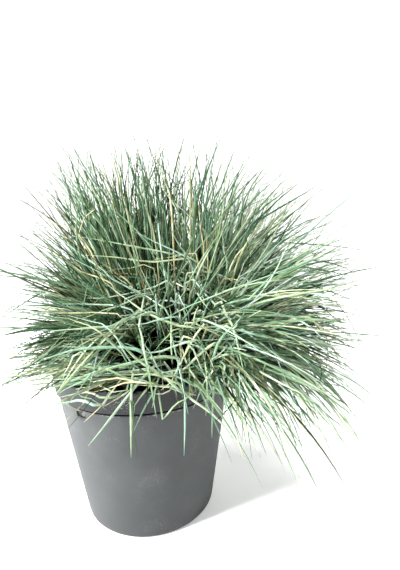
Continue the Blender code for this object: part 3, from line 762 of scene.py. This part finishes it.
def flow_lines(rank, azimuth, length, turn, curl, tilt, sway, weave, bow, kink_at, kink):
    """Centre lines along the flow, each with its own departure from it."""
    rank, azimuth, length = column(rank), column(azimuth), column(length)
    along = MIDDLES * length
    angle = lean(along, rank, azimuth) + column(tilt) * np.clip(along / 0.04, 0, 1) + column(bow) * MIDDLES**2
    angle = angle + kinked(kink, kink_at)
    settled = np.clip(along / 0.03, 0, 1)
    heading = azimuth + column(turn) * settled + column(curl) * MIDDLES
    sideways = np.stack([-np.sin(heading), np.cos(heading), np.zeros_like(heading)], -1)
    aside = column(sway) * settled * (1 - 1.7 * MIDDLES * column(weave))
    steps = unit(direction(angle, heading) + sideways * aside[..., None]) * (np.diff(RINGS) * length)[..., None]
    out = rank * CROWN_RADIUS
    foot = np.concatenate([out * np.cos(azimuth), out * np.sin(azimuth), np.full_like(rank, ROOT_HEIGHT)], -1)
    return kept_off_pot(parted(walked(foot, steps)))


def free_lines(start, angle, heading, curl, length):
    """Centre lines that leave their start at these angles from upright, in a heading that curls."""
    step = column(length) / (LEAF_RINGS - 1)
    return kept_off_pot(walked(start, direction(angle, column(heading) + column(curl) * MIDDLES) * step[..., None]))


def through(points):
    """A smooth centre line through a few points, with evenly spaced rings."""
    points = np.asarray(points, float)
    ends = np.concatenate([2 * points[:1] - points[1:2], points, 2 * points[-1:] - points[-2:-1]])
    t = np.linspace(0, 1, 12, endpoint=False)[:, None]
    pieces = []
    for a, b, c, d in zip(ends, ends[1:], ends[2:], ends[3:]):
        bend = (2 * a - 5 * b + 4 * c - d) * t**2 + (3 * b - a - 3 * c + d) * t**3
        pieces.append(0.5 * (2 * b + (c - a) * t + bend))
    fine = np.concatenate(pieces + [points[-1:]])
    length = np.concatenate([[0], np.cumsum(np.linalg.norm(np.diff(fine, axis=0), axis=1))])
    places = np.linspace(0, length[-1], LEAF_RINGS)
    return np.stack([np.interp(places, length, fine[:, k]) for k in range(3)], -1)


def seen(across, down, y_mm=None):
    """The point that the photograph shows at this pixel: on the plane of this y, or else on the clump's skin."""
    ray = CAMERA_TURN @ Vector(((across - PHOTO_WIDTH / 2) / FOCAL, (PHOTO_HEIGHT / 2 - down) / FOCAL, -1))
    ray = np.array(ray / ray.y)
    place = np.array(CAMERA_PLACE)
    if y_mm is not None:
        return place + ray * (y_mm * MM - place[1])
    depth = FAN_DEPTH + (SKIRT_DEPTH - FAN_DEPTH) * smooth(FAN_FOOT, SKIRT_TOP, down)
    points = place + np.arange(0.1, -depth - place[1], 0.001)[:, None] * ray
    x, y, z = points.T
    on_skin = (np.hypot(x, y) < SKIN_RADIUS) & (z < dome(x, y) + SKIN_LIFT)
    return points[on_skin.argmax() if on_skin.any() else -1]


# Leaves, kind by kind. All draw from RNG, so the order of their draws matters.


class Leaves:
    """Centre lines and looks of many leaves."""

    NAMES = ("lines", "width", "tint", "dry_tip", "dry_all", "roll", "twist", "narrowing")

    def __init__(self, lines, width, tint, dry_tip, dry_all, roll, twist, narrowing=0.42):
        self.lines, self.roll = lines, roll
        looks = (width, tint, dry_tip, dry_all, twist, narrowing)
        looks = [np.broadcast_to(look, len(lines)) for look in looks]
        self.width, self.tint, self.dry_tip, self.dry_all, self.twist, self.narrowing = looks

    @classmethod
    def joined(cls, groups):
        return cls(*(np.concatenate([getattr(group, name) for group in groups]) for name in cls.NAMES))


def dry_shares(count):
    """How dry each leaf is as a whole: a few are straw, some are turning yellow."""
    pick = RNG.uniform(0, 1, count)
    turning = np.where(pick < 0.20, RNG.uniform(0.08, 0.35, count), 0.0)
    return np.where(pick < 0.014, RNG.uniform(0.7, 1.0, count), turning)


def mixed_leaves(lines, width, tint, most_roll, twist, more_straw=0.0):
    """Leaves of which some have a dry tip or are dry, with a roll and a twist of their own."""
    count = len(lines)
    dry_tip = for_some(0.15, 0.03, 0.20, count)
    if more_straw:
        dry_all = np.where(chosen(more_straw, count), RNG.uniform(0.5, 0.95, count), dry_shares(count))
    else:
        dry_all = dry_shares(count)
    roll = RNG.uniform(-most_roll, most_roll, count)
    return Leaves(lines, width, tint, dry_tip, dry_all, roll, RNG.normal(0, twist, count))


def roots(foot, spread, count):
    """Places in the mix, near a tuft's foot."""
    x, y = (CROWN[k] + foot[k] + RNG.normal(0, spread, count) for k in (0, 1))
    return np.stack([x, y, np.full(count, ROOT_HEIGHT)], -1)


def flowing_leaves(index, count):
    """Leaves of one tuft that follow the flow. A few stray, and some are bent or dry."""
    foot = tuft_place(index)[0]
    offset_radius = TUFT_RADIUS * np.sqrt(RNG.uniform(0, 1, count))
    offset_turn = RNG.uniform(0, 2 * pi, count)
    x = foot[0] + offset_radius * np.cos(offset_turn)
    y = foot[1] + offset_radius * np.sin(offset_turn)
    rank = np.minimum(np.hypot(x, y) / CROWN_RADIUS, 1.04)
    inner_rank = np.minimum(rank, 1)
    azimuth = np.arctan2(y, x)
    stray = chosen(STRAY_SHARE, count)
    shorter = at_compass(SHORTER, azimuth) + 0.36 * (1 - inner_rank) ** 2
    length = leaf_length(inner_rank, azimuth) * (1 - shorter * RNG.beta(1.0, 1.7, count))
    wild = at_compass(WILDNESS, azimuth)
    turn, curl, tilt, sway = (
        RNG.normal(0, usual, count) * (1 + more * stray) * wild for usual, more in (TURN, CURL, TILT, SWAY)
    )
    weave = RNG.uniform(0.3, 1.6, count)
    bow = RNG.normal(0, 0.42, count)
    kink_at = RNG.uniform(0.45, 0.85, count)
    kink = for_some(0.04, 0.5, 1.4, count)
    lines = flow_lines(rank, azimuth, length, turn, curl, tilt, sway, weave, bow, kink_at, kink)
    lines = kept_within(lines, chosen(0.95, count))
    front = 0.5 - 0.5 * np.sin(azimuth)
    width = RNG.uniform(*FLOWING_WIDTH, count) + WIDER_AT_FRONT * front * rank
    pale = at_compass(PALENESS, azimuth)
    # Painted shade: the dark ones stand for leaves shaded under the others, and there are more of them on the less
    # pale sides.
    dark = chosen(0.68 - 0.64 * pale, count)
    tint = np.where(dark, RNG.uniform(0, 0.18, count), RNG.normal(pale, 0.20, count))
    return mixed_leaves(lines, width, np.minimum(tint, 0.84), 0.8, 0.9)


def arched_leaves(index, count):
    """Leaves of the crown's front that rise a little and then lie across each other over the mix and the rim.
    Left of the parting most of them go left, and right of it most of them go right."""
    foot, azimuth, rank = tuft_place(index)
    if not (on_side(azimuth, 125, 345) or rank < 0.35):
        return None
    azimuth = azimuth % (2 * pi)
    goes_left = chosen(np.clip(0.5 + (PARTING_AZIMUTH - azimuth) * 1.5, 0.06, 0.94), count)
    heading = np.where(goes_left, ARCHED_LEFT + 0.55 * (azimuth - radians(150)), ARCHED_RIGHT)
    heading = heading + np.where(chosen(0.25, count), RNG.uniform(-pi, pi, count), RNG.normal(0, 0.60, count))
    rise = RNG.uniform(*ARCHED_RISE, count)
    furthest = RNG.uniform(radians(82), radians(112), count)
    length = rise + RNG.uniform(*ARCHED_RUN, count)
    start = roots(foot, 0.006, count)
    kink = for_some(0.14, -0.8, 1.0, count)
    curl = RNG.normal(0, 0.35, count)
    kink_at = RNG.uniform(0.4, 0.85, count)
    angle = column(furthest) * (1 - np.exp(-MIDDLES * column(length) / column(rise))) + kinked(kink, kink_at)
    lines = kept_within(free_lines(start, angle, heading, curl, length), chosen(0.97, count))
    width = RNG.uniform(*ARCHED_WIDTH, count)
    # Painted light and shade: leaves that rise higher, to the clump's top, are paler, and low ones darker.
    tint = np.clip(0.03 + 7 * rise + RNG.normal(0, 0.22, count), 0.0, 0.8)
    return mixed_leaves(lines, width, tint, 1.5, 1.0)


def thatch_leaves(index, count):
    """Leaves of the crown's front that rise to the clump's top and lie there in all directions, across each other."""
    foot, azimuth, rank = tuft_place(index)
    if not (on_side(azimuth, 165, 360) or rank < 0.4):
        return None
    lines, tints = [], []
    for _ in range(count):
        x, y = CROWN + foot * RNG.uniform(0.8, 1.45) + RNG.normal(0, 0.006, 2)
        depth = THATCH_DEPTH * RNG.beta(0.9, 1.2)
        goes_left = chosen(np.clip(0.5 - (x - CROWN[0]) / 0.080, 0.12, 0.88))
        heading = (THATCH_LEFT if goes_left else THATCH_RIGHT) + RNG.normal(0, 0.50)
        if chosen(0.18):
            heading = RNG.uniform(-pi, pi)
        run = RNG.uniform(*THATCH_RUN)
        turned = heading + RNG.normal(0, 0.22)
        middle_x, middle_y = x + cos(heading) * run / 2, y + sin(heading) * run / 2
        end_x, end_y = middle_x + cos(turned) * run / 2, middle_y + sin(turned) * run / 2
        start_z = dome(x, y) - depth + RNG.normal(0, 0.002)
        end_z = dome(end_x, end_y) - depth * RNG.uniform(0.2, 1.0) + RNG.normal(0.003, 0.005)
        middle_z = (start_z + end_z) / 2 + run * RNG.uniform(0.02, 0.12)
        root = roots(foot, 0.004, 1)[0]
        start = np.array([x, y, start_z])
        knee = root * 0.4 + start * 0.6
        lines.append(through([root, knee, start, (middle_x, middle_y, middle_z), (end_x, end_y, end_z)]))
        # Painted shade: a green leaf is darker the deeper it starts under the clump's top, and the others are dark for
        # the shaded gaps between.
        green = chosen(0.7)
        tints.append(0.68 - 27 * depth + RNG.normal(0, 0.20) if green else RNG.uniform(0, 0.2))
    lines = kept_within(kept_off_pot(np.array(lines)))
    width = RNG.uniform(*THATCH_WIDTH, count)
    return mixed_leaves(lines, width, np.clip(tints, 0.0, 0.88), 1.5, 0.8)


def mat_leaves(index, count):
    """Leaves of the crown's front that turn left and lie flat across each other over the rim."""
    foot, azimuth, rank = tuft_place(index)
    if not (on_side(azimuth, 185, 320) and rank > 0.55):
        return None
    lines = []
    for _ in range(count):
        root = roots(foot, 0.004, 1)[0]
        turn = RNG.uniform(*MAT_SIDE)
        out = MAT_RADIUS * sqrt(RNG.uniform(0.45, 1.0))
        over = np.array([out * cos(turn), out * sin(turn), POT_HEIGHT + RNG.uniform(0.002, 0.013)])
        heading = MAT_HEADING + RNG.normal(0, 0.40)
        run = RNG.uniform(*MAT_RUN)
        back = RNG.uniform(0.2, 0.6) * run
        forward = np.array([cos(heading), sin(heading), RNG.normal(-0.04, 0.07)])
        bend = np.array([-sin(heading), cos(heading), 0]) * RNG.normal(0, 0.08) * run
        start, end = over - forward * back, over + forward * (run - back) + bend
        knee = root * 0.5 + start * 0.5 + (0, 0, 0.008)
        lines.append(through([root, knee, start, over, end]))
    lines = kept_within(kept_off_pot(np.array(lines)), chosen(0.6, count))
    width = RNG.uniform(*MAT_WIDTH, count)
    tint = np.where(chosen(0.3, count), RNG.uniform(0, 0.22, count), RNG.uniform(0.36, 0.76, count))
    return mixed_leaves(lines, width, tint, 1.5, 0.8, more_straw=0.10)


def hanging_leaves(index, count):
    """Leaves of the crown's right front that arch out and hang beside the pot."""
    foot, azimuth, rank = tuft_place(index)
    if not (on_side(azimuth, 285, 360) and rank > 0.6):
        return None
    start = roots(foot, 0.005, count)
    start[:, 2] = MIX_TOP + RNG.uniform(0, 0.010, count)
    heading = HANGING_HEADING + RNG.normal(0, 0.48, count)
    curl = RNG.normal(0, 0.24, count)
    lean_from = HANGING_LEAN[0] + RNG.normal(0, 0.12, count)
    lean_to = HANGING_LEAN[1] + RNG.normal(0, 0.20, count)
    length = RNG.uniform(*HANGING_LENGTH, count)
    angle = column(lean_from) * (1 - MIDDLES) + column(lean_to) * MIDDLES
    lines = kept_within(free_lines(start, angle, heading, curl, length), chosen(0.9, count))
    width = RNG.uniform(*HANGING_WIDTH, count)
    tint = np.clip(RNG.normal(0.50, 0.25, count), 0.0, 1.0)
    return mixed_leaves(lines, width, tint, 0.8, 0.9)


def tuft_leaves(index):
    _, azimuth, rank = tuft_place(index)
    flowing = at_compass(FLOWING_PER_TUFT, azimuth) * (0.30 + 0.70 * min(1, rank / 0.50))
    groups = [
        flowing_leaves(index, int(flowing)),
        arched_leaves(index, int(at_compass(ARCHED_PER_TUFT, azimuth))),
        thatch_leaves(index, int(THATCH_PER_TUFT * (1.5 - 0.6 * rank))),
        mat_leaves(index, MAT_PER_TUFT),
        hanging_leaves(index, HANGING_PER_TUFT),
    ]
    return Leaves.joined([group for group in groups if group])


def landmark_leaves():
    """Leaves that stand out in the photograph. Each rises from the crown and then passes its pixels."""
    lines = []
    for route, *_ in LANDMARKS:
        shown = [seen(*point) for point in route]
        knee = shown[0] + unit(shown[0] - shown[1]) * KNEE_BEFORE - (0, 0, KNEE_DROP)
        toward = knee[:2] - CROWN
        root = CROWN + toward * min(1.0, ROOT_REACH / max(np.hypot(*toward), 1e-6))
        lines.append(through([(*root, ROOT_HEIGHT), knee] + shown))
    lines = kept_within(kept_off_pot(np.array(lines), 0.0))
    breadth, paleness, dryness = np.array([(*looks, 0)[:3] for _, *looks in LANDMARKS]).T
    straw = dryness > STRAW_FROM
    return Leaves(
        lines,
        width=breadth * MM * np.where(straw, STRAW_BY_BREADTH, WIDTH_BY_BREADTH),
        tint=paleness * TINT_BY_PALENESS,
        dry_tip=np.where(straw, 1.0, 0.0),
        dry_all=np.where(straw, 0.2, dryness),
        roll=facing_rolls(lines) + RNG.uniform(-0.4, 0.4, (len(lines), 1)),
        twist=RNG.normal(0, 0.3, len(lines)),
        narrowing=0.22,
    )


# Leaf meshes


def frames(lines):
    """Directions ahead, to the side and up at every ring."""
    ahead = unit(np.gradient(lines, axis=1))
    outward = lines[:, -1] - lines[:, 0]
    heading = np.arctan2(outward[:, 1], outward[:, 0])
    level = np.stack([-np.sin(heading), np.cos(heading), np.zeros_like(heading)], -1)[:, None]
    side = unit(level - ahead * np.sum(level * ahead, -1, keepdims=True))
    up = np.cross(ahead, side)
    up = np.where(np.sum(up * [0, 0, 1], -1).mean(1)[:, None, None] < 0, -up, up)
    return ahead, side, up


def facing_rolls(lines):
    """Rolls that turn the flat of each leaf towards the photograph's camera."""
    ahead, side, up = frames(lines)
    wide = np.cross(lines - np.array(CAMERA_PLACE), ahead)
    return np.unwrap(np.arctan2(np.sum(wide * up, -1), np.sum(wide * side, -1)), axis=1)


def leaf_corners(leaves):
    """Corner points of every ring of every leaf, a folded blade that narrows to its foot and its tip, and each
    ring's part of the length."""
    lines = leaves.lines
    ahead, side, up = frames(lines)
    turned = np.reshape(leaves.roll, (len(lines), -1, 1)) + leaves.twist[:, None, None] * RINGS[..., None]
    across = side * np.cos(turned) + up * np.sin(turned)
    raised = np.cross(ahead, across)
    steps = np.linalg.norm(np.diff(lines, axis=1), axis=-1)
    length = np.concatenate([np.zeros((len(lines), 1)), np.cumsum(steps, 1)], 1)
    part = length / length[:, -1:]
    to_tip = np.clip((1 - part) / leaves.narrowing[:, None], 0.0, 1.0) ** 0.85
    taper = (FOOT_WIDTH + (1 - FOOT_WIDTH) * smooth(0, 0.18, part)) * (TIP_WIDTH + (1 - TIP_WIDTH) * to_tip)
    half = (leaves.width[:, None] * taper)[:, :, None, None]
    sideways, upwards = across[:, :, None] * SECTION[:, :1], raised[:, :, None] * SECTION[:, 1:]
    return lines[:, :, None] + sideways * half + upwards * half, part


def leaf_faces(count, sides):
    """Quads along each blade, then its two end faces."""
    ring = np.arange(LEAF_RINGS - 1)[:, None] * sides
    k = np.arange(sides)
    following = (k + 1) % sides
    quads = np.stack([ring + k, ring + following, ring + sides + following, ring + sides + k], -1).reshape(-1, 4)
    start = (np.arange(count) * LEAF_RINGS * sides)[:, None, None]
    ends = np.stack([k[::-1], (LEAF_RINGS - 1) * sides + k])
    return (quads + start).reshape(-1, 4), (ends + start).reshape(-1, sides)


def leaf_uv(count, sides, part):
    """Lays each blade in its own strip: across in u and along in v."""
    rows = 2
    columns = -(-count // rows)
    k = np.arange(sides + 1)
    leaf = np.arange(count)
    left = (leaf % columns) / columns
    low = (leaf // columns) / rows
    u = left[:, None, None] + (0.08 + 0.84 * k / sides) / columns
    v = (low[:, None] + (0.03 + 0.93 * part) / rows)[..., None]
    u0, u1, v0, v1 = np.broadcast_arrays(u[..., :-1], u[..., 1:], v[:, :-1], v[:, 1:])
    quads = np.stack([np.stack(corner, -1) for corner in ((u0, v0), (u1, v0), (u1, v1), (u0, v1))], 3)
    around = 2 * pi * k[:-1] / sides
    spot = np.stack([np.cos(around) * 0.3 / columns, np.sin(around) * 0.008 / rows], -1)
    middles = [np.stack([left + 0.5 / columns, low + share / rows], -1) for share in (0.015, 0.975)]
    ends = np.stack([middle[:, None] + spot for middle in middles], 1)
    return quads.reshape(-1, 2), ends.reshape(-1, 2)


def lighting(lines):
    """1 where light reaches a leaf, and near 0 deep under the clump's top, over the pot."""
    x, y, z = lines[..., 0], lines[..., 1], lines[..., 2]
    depth = np.maximum(dome(x, y) - z, 0) * (1 - smooth(0.058, 0.070, np.hypot(x, y)))
    return 1 - 0.98 * smooth(0.001, SHADE_DEPTH, depth)


def leaf_mesh(name, leaves, material):
    corners, part = leaf_corners(leaves)
    count, _, sides = corners.shape[:3]
    quads, ends = leaf_faces(count, sides)
    mesh = bpy.data.meshes.new(name)
    mesh.from_pydata(corners.reshape(-1, 3).tolist(), [], quads.tolist() + ends.tolist())
    layer = mesh.uv_layers.new(name="OFBake")
    layer.data.foreach_set("uv", np.concatenate(leaf_uv(count, sides, part)).ravel())
    has_tip = leaves.dry_tip[:, None] > 0
    dry_tip = np.where(has_tip, leaves.dry_tip[:, None], 1.0)
    tip = np.where(has_tip, smooth(1 - dry_tip, 1 - dry_tip * 0.5, part), 0)
    dry = np.maximum(tip, leaves.dry_all[:, None])
    # Painted shade: each blade is a little darker towards its foot, and darker over its last quarter, whose tip shows
    # its unlit side.
    tint = leaves.tint[:, None] + 0.06 * (part - 0.5) - 0.12 * smooth(0.75, 1.0, part)
    warmth = np.broadcast_to(column(golden_shares(count)), part.shape)
    blade = np.stack([tint, dry, lighting(leaves.lines), warmth], -1)
    attribute = mesh.attributes.new("blade", "FLOAT_COLOR", "POINT")
    attribute.data.foreach_set("color", np.repeat(blade[:, :, None], sides, 2).ravel())
    mesh.shade_smooth()
    pairs = np.empty(len(mesh.edges) * 2, np.int32)
    mesh.edges.foreach_get("vertices", pairs)
    corner = pairs.reshape(-1, 2) % sides
    lengthwise = corner[:, 0] == corner[:, 1]
    sharp = mesh.attributes.new("sharp_edge", "BOOLEAN", "EDGE")
    sharp.data.foreach_set("value", lengthwise & ~np.isin(corner[:, 0], ROUND_CORNERS))
    return add_object(name, mesh, material)


# Pot


def wall_radius(height):
    """Radius of the outer wall just below the band, in mm."""
    return 62.5 + (height - 92.0) * 0.07


def pot_profile():
    """Inner floor, inner wall, rolled lip, band and outer wall, from the axis round to the axis, in mm."""
    return [
        (0.0, 2.0), (43.5, 2.0), (44.9, 2.5), (45.6, 3.6), (61.2, 99.0), (61.5, 99.8), (63.0, 100.8), (63.5, 101.6),
        (64.3, 113.4), (64.6, 114.5), (65.1, 114.95), (65.7, 115.0), (66.3, 114.9), (66.7, 114.4), (66.8, 113.8),
        (66.6, 112.9), (66.15, 112.3), (66.0, 111.8), (65.2, 101.4), (65.12, 100.7), (64.95, 100.3),
        (64.6, 100.15), (62.5, 100.1), (62.1, 99.9), (62.1, 98.5), (62.7, 98.3), (62.9, 98.1),
        *[(wall_radius(height), height) for height in (SLOT_TOP + 0.05, SLOT_TOP, SLOT_FOOT, SLOT_FOOT - 0.05)],
        (62.5, 92.0), (48.9, 4.0), (48.3, 1.6), (47.4, 0.4), (46.4, 0.0), (0.0, 0.0),
    ]


def drill(pot):
    """Cuts the drain holes through the pot's floor."""
    bm = bmesh.new()
    for k in range(DRAIN_HOLES):
        turn = Matrix.Rotation(2 * pi * k / DRAIN_HOLES, 4, "Z")
        place = turn @ Matrix.Translation((DRAIN_RING_RADIUS, 0, 0.001))
        bmesh.ops.create_cone(bm, cap_ends=True, segments=DRAIN_HOLE_SIDES, radius1=DRAIN_HOLE_RADIUS,
                              radius2=DRAIN_HOLE_RADIUS, depth=0.008, matrix=place)
    cutter = linked("drain_holes", mesh_from(bm, "drain_holes"))
    cut = pot.modifiers.new("drain holes", "BOOLEAN")
    cut.operation, cut.solver, cut.object = "DIFFERENCE", "EXACT", cutter
    drilled = bpy.data.meshes.new_from_object(pot.evaluated_get(bpy.context.evaluated_depsgraph_get()))
    pot.modifiers.clear()
    pot.data = drilled
    bpy.data.objects.remove(cutter)


def make_pot():
    """The pot, turned from its profile, with a sunk label slot and drain holes."""
    profile = pot_profile()
    half = SLOT_WIDTH / 2
    edges = [SLOT_AZIMUTH + side * (half + grow) / WALL_RADIUS for side in (-1, 1) for grow in (-SLOT_EDGE, SLOT_EDGE)]
    bm = bmesh.new()
    rings = []
    for angle in sorted([2 * pi * k / POT_STEPS - pi for k in range(POT_STEPS)] + edges):
        slot_here = abs(angle - SLOT_AZIMUTH) * WALL_RADIUS < half
        ring = []
        for radius, height in profile:
            in_slot = slot_here and SLOT_FOOT <= height <= SLOT_TOP and radius > OUTER_WALL_FROM
            out = radius * MM - (SLOT_DEPTH if in_slot else 0.0)
            ring.append(bm.verts.new((out * cos(angle), out * sin(angle), height * MM)))
        rings.append(ring)
    for ring, following in zip(rings, rings[1:] + rings[:1]):
        for k in range(len(profile) - 1):
            bm.faces.new((ring[k], following[k], following[k + 1], ring[k + 1]))
    bmesh.ops.remove_doubles(bm, verts=bm.verts, dist=0.00001)
    bmesh.ops.recalc_face_normals(bm, faces=bm.faces)
    pot = add_object("nursery_pot", mesh_from(bm, "nursery_pot"), plastic_material())
    drill(pot)
    pot.data.shade_smooth()
    pot.data.set_sharp_from_angle(angle=SHARP_ANGLE)
    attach(pot, "root")
    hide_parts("pot")


# Potting mix


def make_mix():
    """Lumpy peat, level with its solid."""
    bm = bmesh.new()
    turns = [2 * pi * k / MIX_STEPS for k in range(MIX_STEPS)]
    rings = []
    for i in range(1, MIX_RINGS + 1):
        radius = MIX_RADIUS * i / MIX_RINGS
        fade = 1.0 if i < MIX_RINGS else 0.2
        ring = []
        for angle in turns:
            place = Vector((radius * cos(angle), radius * sin(angle), 0))
            rise = 0.0016 * noise.fractal(place * 90, 1.0, 2.0, 4) + 0.0008 * noise.noise(place * 300)
            ring.append(bm.verts.new((place.x, place.y, MIX_TOP + rise * fade - MIX_SUNK)))
        rings.append(ring)
    middle = bm.verts.new((0, 0, MIX_TOP))
    for radius, height in (MIX_SHOULDER, MIX_FLOOR):
        rings.append([bm.verts.new((radius * cos(angle), radius * sin(angle), height)) for angle in turns])
    for k in range(MIX_STEPS):
        bm.faces.new((middle, rings[0][k], rings[0][(k + 1) % MIX_STEPS]))
    for ring, outer in zip(rings, rings[1:]):
        for k in range(MIX_STEPS):
            j = (k + 1) % MIX_STEPS
            bm.faces.new((ring[k], outer[k], outer[j], ring[j]))
    bm.faces.new(rings[-1][::-1])
    bmesh.ops.recalc_face_normals(bm, faces=bm.faces)
    mesh = mesh_from(bm, "peat")
    mesh.shade_smooth()
    peat = add_object("peat", mesh, mix_material())
    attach(peat, "root")
    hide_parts("potting_mix")


def make_crumbs(name, count, size, squash, material):
    """Small lumps half sunk in the mix, as one mesh."""
    bm = bmesh.new()
    for _ in range(count):
        radius = CRUMBS_WITHIN * sqrt(RNG.uniform(0, 1))
        angle = RNG.uniform(0, 2 * pi)
        scale = size * RNG.uniform(0.5, 1.0)
        place = Matrix.Translation((radius * cos(angle), radius * sin(angle), MIX_TOP + scale * 0.15))
        turn = Matrix.Rotation(RNG.uniform(0, 2 * pi), 4, "Z") @ Matrix.Rotation(RNG.uniform(-0.4, 0.4), 4, "X")
        shape = Matrix.Diagonal((*(scale * part for part in squash), 1))
        bmesh.ops.create_icosphere(bm, subdivisions=1, radius=1, matrix=place @ turn @ shape)
    for vert in bm.verts:
        vert.co += noise.noise_vector(vert.co * 900) * size * 0.22
    crumbs = add_object(name, mesh_from(bm, name), material)
    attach(crumbs, "root")


# Stage, lights and camera


def make_stage():
    """A pale floor that sweeps up behind."""
    sweep = [radians(5 * k) for k in range(1, 19)]
    profile = [(FLOOR_FRONT, 0.0), (FLOOR_BACK, 0.0)]
    profile += [(FLOOR_BACK + SWEEP_RADIUS * sin(a), SWEEP_RADIUS - SWEEP_RADIUS * cos(a)) for a in sweep]
    profile += [(FLOOR_BACK + SWEEP_RADIUS, BACKDROP_TOP)]
    points = [(side * BACKDROP_HALF_WIDTH, y, z) for y, z in profile for side in (-1, 1)]
    faces = [(2 * k, 2 * k + 1, 2 * k + 3, 2 * k + 2) for k in range(len(profile) - 1)]
    mesh = bpy.data.meshes.new("backdrop")
    mesh.from_pydata(points, [], faces)
    mesh.shade_smooth()
    floor = add_object("backdrop", mesh, backdrop_material())


def make_lights():
    world = bpy.data.worlds.new("soft white room")
    world.use_nodes = True
    background = world.node_tree.nodes["Background"]
    background.inputs["Color"].default_value = ROOM_COLOUR
    background.inputs["Strength"].default_value = ROOM_STRENGTH
    bpy.context.scene.world = world
    for name, place, target, size, power in LIGHTS:
        light = bpy.data.lights.new(name, "AREA")
        light.shape, light.size, light.energy = "DISK", size, power
        obj = linked(name, light)
        obj.location = place
        obj.rotation_euler = (Vector(target) - Vector(place)).to_track_quat("-Z", "Y").to_euler()


def make_camera():
    camera = bpy.data.cameras.new("photo camera")
    camera.sensor_width = SENSOR
    camera.lens = SENSOR * FOCAL / PHOTO_HEIGHT
    camera.clip_start = 0.01
    obj = linked("photo camera", camera)
    obj.location = CAMERA_PLACE
    obj.rotation_euler = CAMERA_TURN.to_euler()
    bpy.context.scene.camera = obj


def main():
    make_camera()
    make_lights()
    make_stage()
    bpy.context.scene.view_settings.view_transform = "Standard"
    make_pot()
    make_mix()
    perlite = crumb_material("perlite", (0.62, 0.60, 0.55), (0.88, 0.87, 0.83))
    make_crumbs("perlite", 60, 0.0016, (1, 0.9, 0.8), perlite)
    bark = crumb_material("bark", (0.05, 0.03, 0.018), (0.20, 0.12, 0.06))
    make_crumbs("bark", 170, 0.0034, (1, 0.45, 0.3), bark)
    leaf = leaf_material()
    for index in range(TUFTS):
        name = "tuft_%02d" % (index + 1)
        obj = leaf_mesh(name + "_leaves", tuft_leaves(index), leaf)
        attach(obj, "root")
        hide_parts(name)
    landmarks = leaf_mesh("landmark_leaves", landmark_leaves(), leaf)
    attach(landmarks, "root")


main()
